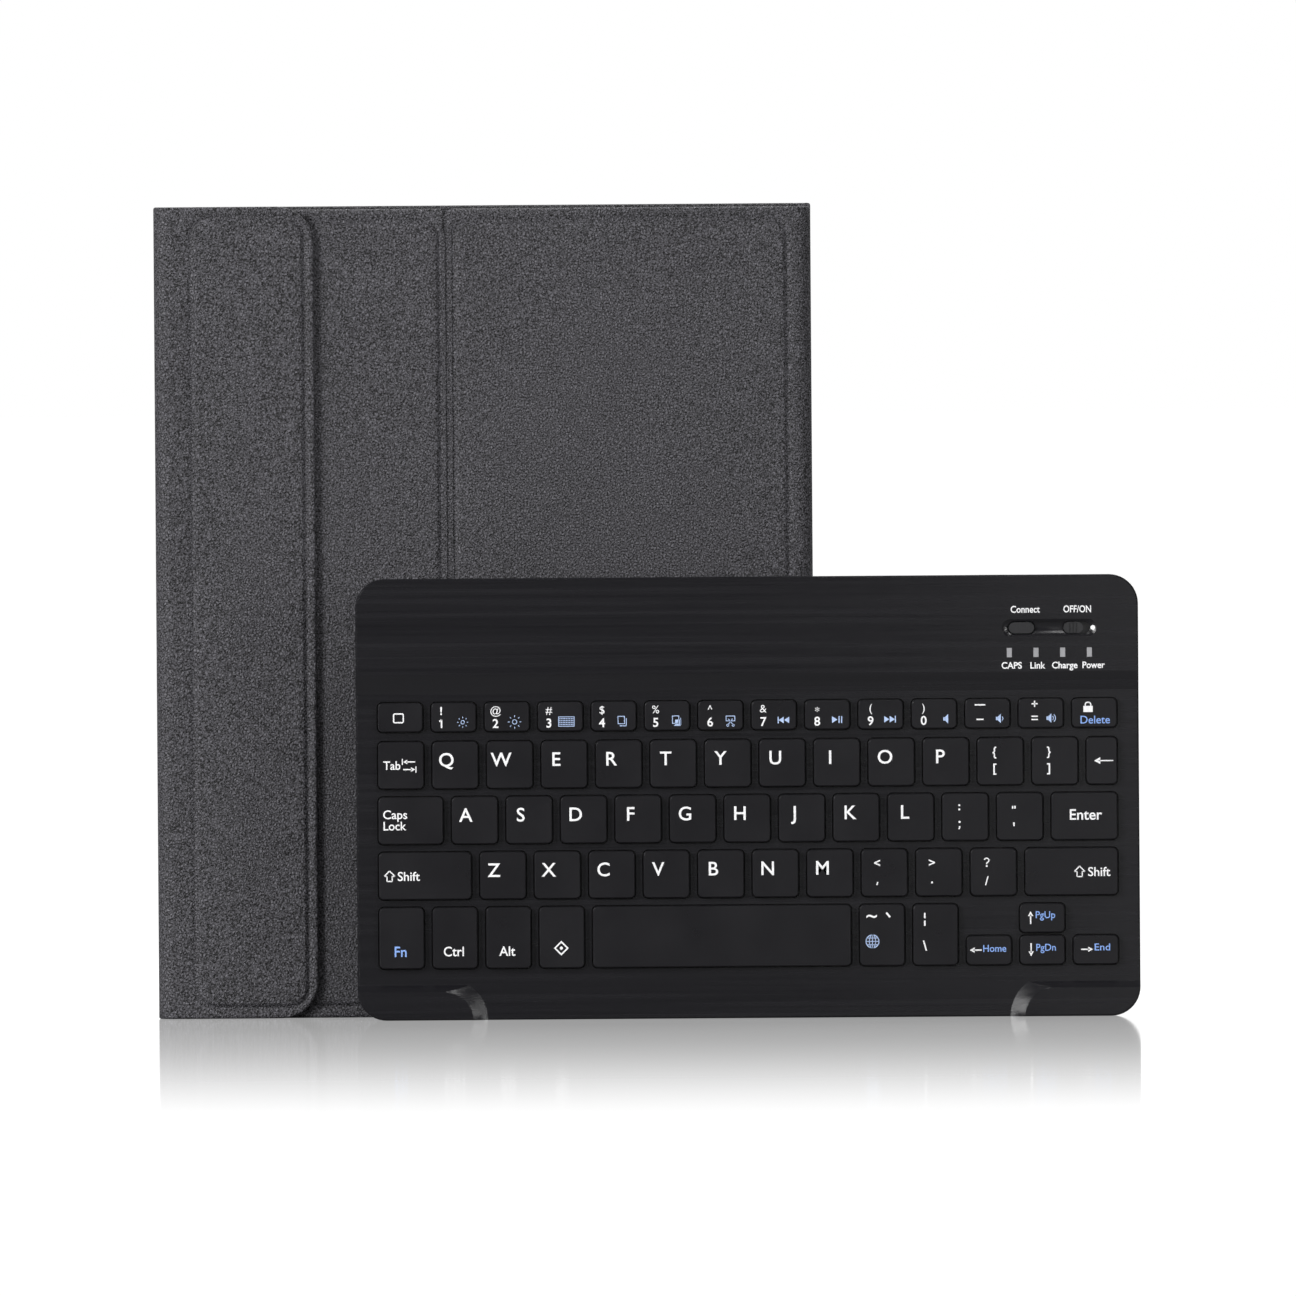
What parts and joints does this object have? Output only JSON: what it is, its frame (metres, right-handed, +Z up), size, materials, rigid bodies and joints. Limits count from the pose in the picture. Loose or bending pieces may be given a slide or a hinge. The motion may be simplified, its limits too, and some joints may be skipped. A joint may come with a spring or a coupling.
{
  "type": "tablet keyboard case",
  "caption": "Closed leather folio for a tablet with a magnetic closing flap, standing on its short end behind its detachable slim wireless keyboard.",
  "frame": {"origin": "centre of the part's footprint, on the surface that the folio and keyboard stand on", "axes": "+X along the width, to the right as the keys are seen; +Y from the keyboard towards the folio; +Z up"},
  "size_m": [0.3044, 0.0578, 0.252],
  "materials": {
    "folio_leather": "fine pebble-grained artificial leather",
    "stiffening_board": "plain pressed board",
    "lining_fabric": "short microfibre nap",
    "shell_plastic": "fine moulded texture",
    "magnet_steel": "plated",
    "case_plastic": "fine horizontal brushing",
    "key_plastic": "fine matte grain",
    "plate_steel": "plain sheet",
    "membrane_film": "printed film",
    "dome_rubber": "translucent silicone",
    "clip_plastic": "moulded",
    "circuit_laminate": "solder mask",
    "battery_foil": "foil pouch",
    "switch_plastic": "moulded",
    "lens_plastic": "clear grey",
    "foot_rubber": "plain",
    "screw_steel": "blackened"
  },
  "bodies": {
    "stand_panel": {"prop_leather": "folio_leather", "prop_board": "stiffening_board"},
    "back_panel": {"back_leather": "folio_leather", "back_board": "stiffening_board", "fold_crease": "folio_leather", "tablet_shell": "shell_plastic", "latch_plates": "plate_steel"},
    "spine": {"spine_leather": "folio_leather", "spine_board": "stiffening_board", "spine_front_bend": "folio_leather", "spine_rear_bend": "folio_leather"},
    "front_cover": {"cover_leather": "folio_leather", "cover_board": "stiffening_board", "cover_lining": "lining_fabric", "cover_magnets": "magnet_steel"},
    "closing_strip": {"strip_leather": "folio_leather", "strip_rear_bend": "folio_leather"},
    "closing_flap": {"flap_leather": "folio_leather", "flap_board": "stiffening_board", "flap_magnets": "magnet_steel", "strip_front_bend": "folio_leather"},
    "keyboard": {"top_cover": "case_plastic", "bottom_cover": "case_plastic", "key_plate": "plate_steel", "membrane_sheet": "membrane_film", "rubber_domes": "dome_rubber", "scissor_clips": "clip_plastic", "circuit_board": "circuit_laminate", "battery": "battery_foil", "charging_socket": "plate_steel", "slide_switch": "plate_steel", "tact_switch": "plate_steel", "indicator_lenses": "lens_plastic", "rubber_feet": "foot_rubber", "cover_screws": "screw_steel", "keyboard_magnets": "magnet_steel"},
    "power_slider": {"power_slider": "switch_plastic"},
    "connect_button": {"connect_button": "switch_plastic"},
    "number_row_keys": {"number_row_keys": "key_plastic"},
    "upper_row_keys": {"upper_row_keys": "key_plastic"},
    "home_row_keys": {"home_row_keys": "key_plastic"},
    "lower_row_keys": {"lower_row_keys": "key_plastic"},
    "delete_key": {"delete_key": "key_plastic"},
    "tab_key": {"tab_key": "key_plastic"},
    "backspace_key": {"backspace_key": "key_plastic"},
    "caps_key": {"caps_key": "key_plastic"},
    "enter_key": {"enter_key": "key_plastic"},
    "left_shift_key": {"left_shift_key": "key_plastic"},
    "right_shift_key": {"right_shift_key": "key_plastic"},
    "fn_key": {"fn_key": "key_plastic"},
    "ctrl_key": {"ctrl_key": "key_plastic"},
    "alt_key": {"alt_key": "key_plastic"},
    "command_key": {"command_key": "key_plastic"},
    "space_key": {"space_key": "key_plastic"},
    "globe_key": {"globe_key": "key_plastic"},
    "backslash_key": {"backslash_key": "key_plastic"},
    "left_key": {"left_key": "key_plastic"},
    "down_key": {"down_key": "key_plastic"},
    "right_key": {"right_key": "key_plastic"},
    "up_key": {"up_key": "key_plastic"}
  },
  "joints": [
    {"name": "cover_open", "type": "hinge", "parent": "spine", "child": "front_cover", "pos_m": [0.05014, 0.02669, 0.126], "axis": [0, 0, -1], "range_deg": [0, 90], "deforming": ["spine_rear_bend"]},
    {"name": "spine_fold", "type": "hinge", "parent": "stand_panel", "child": "spine", "pos_m": [0.05014, 0.00921, 0.126], "axis": [0, 0, -1], "range_deg": [0, 90], "deforming": ["spine_front_bend"]},
    {"name": "back_fold", "type": "hinge", "parent": "stand_panel", "child": "back_panel", "pos_m": [-0.0612, 0.00795, 0.126], "axis": [0, 0, 1], "range_deg": [0, 38], "deforming": ["fold_crease"]},
    {"name": "strip_open", "type": "hinge", "parent": "front_cover", "child": "closing_strip", "pos_m": [-0.15054, 0.02669, 0.126], "axis": [0, 0, -1], "range_deg": [0, 90], "deforming": ["strip_rear_bend"]},
    {"name": "flap_open", "type": "hinge", "parent": "closing_strip", "child": "closing_flap", "pos_m": [-0.15054, 0.00631, 0.126], "axis": [0, 0, -1], "range_deg": [0, 90], "deforming": ["strip_front_bend"]},
    {"name": "keyboard_slide", "type": "slide", "parent": "stand_panel", "child": "keyboard", "axis": [0, -1, 0], "range_m": [0, 0.15]},
    {"name": "power_slide", "type": "slide", "parent": "keyboard", "child": "power_slider", "axis": [1, 0, 0], "range_m": [0, 0.002]},
    {"name": "connect_press", "type": "slide", "parent": "keyboard", "child": "connect_button", "axis": [0, 1, 0], "range_m": [0, 0.0005], "stiffness_N_per_m": 150},
    {"name": "number_row_press", "type": "slide", "parent": "keyboard", "child": "number_row_keys", "axis": [0, 1, 0], "range_m": [0, 0.0014], "stiffness_N_per_m": 150, "deforming": ["rubber_domes", "scissor_clips"]},
    {"name": "upper_row_press", "type": "slide", "parent": "keyboard", "child": "upper_row_keys", "axis": [0, 1, 0], "range_m": [0, 0.0014], "stiffness_N_per_m": 150},
    {"name": "home_row_press", "type": "slide", "parent": "keyboard", "child": "home_row_keys", "axis": [0, 1, 0], "range_m": [0, 0.0014], "stiffness_N_per_m": 150},
    {"name": "lower_row_press", "type": "slide", "parent": "keyboard", "child": "lower_row_keys", "axis": [0, 1, 0], "range_m": [0, 0.0014], "stiffness_N_per_m": 150},
    {"name": "delete_press", "type": "slide", "parent": "keyboard", "child": "delete_key", "axis": [0, 1, 0], "range_m": [0, 0.0014], "stiffness_N_per_m": 150},
    {"name": "tab_press", "type": "slide", "parent": "keyboard", "child": "tab_key", "axis": [0, 1, 0], "range_m": [0, 0.0014], "stiffness_N_per_m": 150},
    {"name": "backspace_press", "type": "slide", "parent": "keyboard", "child": "backspace_key", "axis": [0, 1, 0], "range_m": [0, 0.0014], "stiffness_N_per_m": 150},
    {"name": "caps_press", "type": "slide", "parent": "keyboard", "child": "caps_key", "axis": [0, 1, 0], "range_m": [0, 0.0014], "stiffness_N_per_m": 150},
    {"name": "enter_press", "type": "slide", "parent": "keyboard", "child": "enter_key", "axis": [0, 1, 0], "range_m": [0, 0.0014], "stiffness_N_per_m": 150},
    {"name": "left_shift_press", "type": "slide", "parent": "keyboard", "child": "left_shift_key", "axis": [0, 1, 0], "range_m": [0, 0.0014], "stiffness_N_per_m": 150},
    {"name": "right_shift_press", "type": "slide", "parent": "keyboard", "child": "right_shift_key", "axis": [0, 1, 0], "range_m": [0, 0.0014], "stiffness_N_per_m": 150},
    {"name": "fn_press", "type": "slide", "parent": "keyboard", "child": "fn_key", "axis": [0, 1, 0], "range_m": [0, 0.0014], "stiffness_N_per_m": 150},
    {"name": "ctrl_press", "type": "slide", "parent": "keyboard", "child": "ctrl_key", "axis": [0, 1, 0], "range_m": [0, 0.0014], "stiffness_N_per_m": 150},
    {"name": "alt_press", "type": "slide", "parent": "keyboard", "child": "alt_key", "axis": [0, 1, 0], "range_m": [0, 0.0014], "stiffness_N_per_m": 150},
    {"name": "command_press", "type": "slide", "parent": "keyboard", "child": "command_key", "axis": [0, 1, 0], "range_m": [0, 0.0014], "stiffness_N_per_m": 150},
    {"name": "space_press", "type": "slide", "parent": "keyboard", "child": "space_key", "axis": [0, 1, 0], "range_m": [0, 0.0014], "stiffness_N_per_m": 150},
    {"name": "globe_press", "type": "slide", "parent": "keyboard", "child": "globe_key", "axis": [0, 1, 0], "range_m": [0, 0.0014], "stiffness_N_per_m": 150},
    {"name": "backslash_press", "type": "slide", "parent": "keyboard", "child": "backslash_key", "axis": [0, 1, 0], "range_m": [0, 0.0014], "stiffness_N_per_m": 150},
    {"name": "left_press", "type": "slide", "parent": "keyboard", "child": "left_key", "axis": [0, 1, 0], "range_m": [0, 0.0014], "stiffness_N_per_m": 150},
    {"name": "down_press", "type": "slide", "parent": "keyboard", "child": "down_key", "axis": [0, 1, 0], "range_m": [0, 0.0014], "stiffness_N_per_m": 150},
    {"name": "right_press", "type": "slide", "parent": "keyboard", "child": "right_key", "axis": [0, 1, 0], "range_m": [0, 0.0014], "stiffness_N_per_m": 150},
    {"name": "up_press", "type": "slide", "parent": "keyboard", "child": "up_key", "axis": [0, 1, 0], "range_m": [0, 0.0014], "stiffness_N_per_m": 150}
  ],
  "couplings": [
    {"joint": "spine_fold", "follows": "cover_open", "ratio": 1},
    {"joint": "back_fold", "follows": "cover_open", "ratio": 0.42},
    {"joint": "flap_open", "follows": "cover_open", "ratio": 1}
  ]
}
